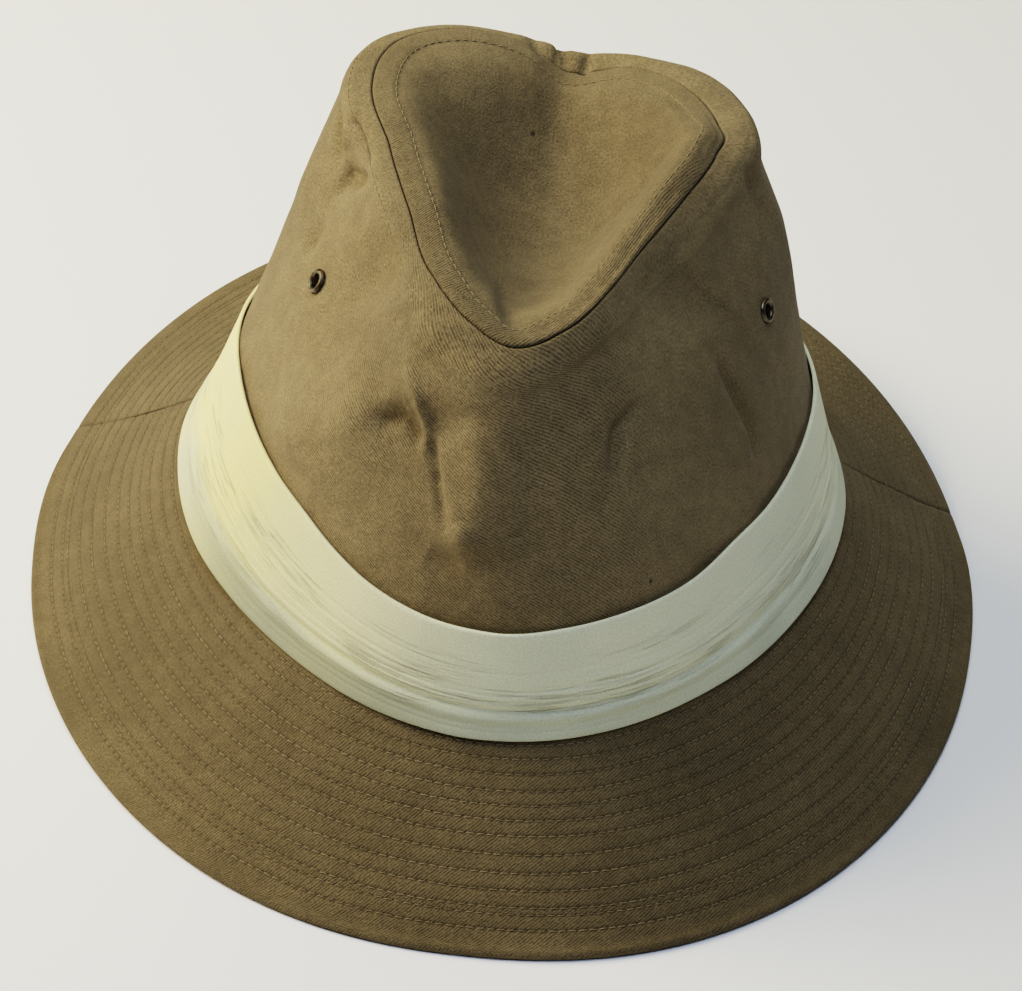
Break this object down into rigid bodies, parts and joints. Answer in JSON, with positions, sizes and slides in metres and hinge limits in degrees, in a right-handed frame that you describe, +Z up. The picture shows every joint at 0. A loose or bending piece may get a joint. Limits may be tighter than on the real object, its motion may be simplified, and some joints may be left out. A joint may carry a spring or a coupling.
{
  "type": "fedora hat",
  "caption": "Soft cotton twill fedora with a teardrop-creased crown, a wide cream cotton hatband, a row-stitched brim that slopes down all round, and small metal air eyelets.",
  "frame": {"origin": "middle of the hat's plan, on the level surface that the brim's edge rests on", "axes": "+Z up, -Y towards the front of the hat, +X towards the wearer's left"},
  "size_m": [0.2818, 0.303, 0.163],
  "materials": {
    "brim_twill": "matt khaki cotton twill, sewn in rows",
    "crown_twill": "matt khaki cotton twill",
    "band_cotton": "matt cream cotton, soft pleats, a little stained",
    "eyelet_metal": "dark tarnished brass"
  },
  "bodies": {
    "root": {"brim_front": "brim_twill", "brim_back": "brim_twill", "crown_side": "crown_twill", "crown_tip": "crown_twill", "hatband": "band_cotton", "eyelet_left": "eyelet_metal", "eyelet_right": "eyelet_metal"}
  },
  "joints": []
}
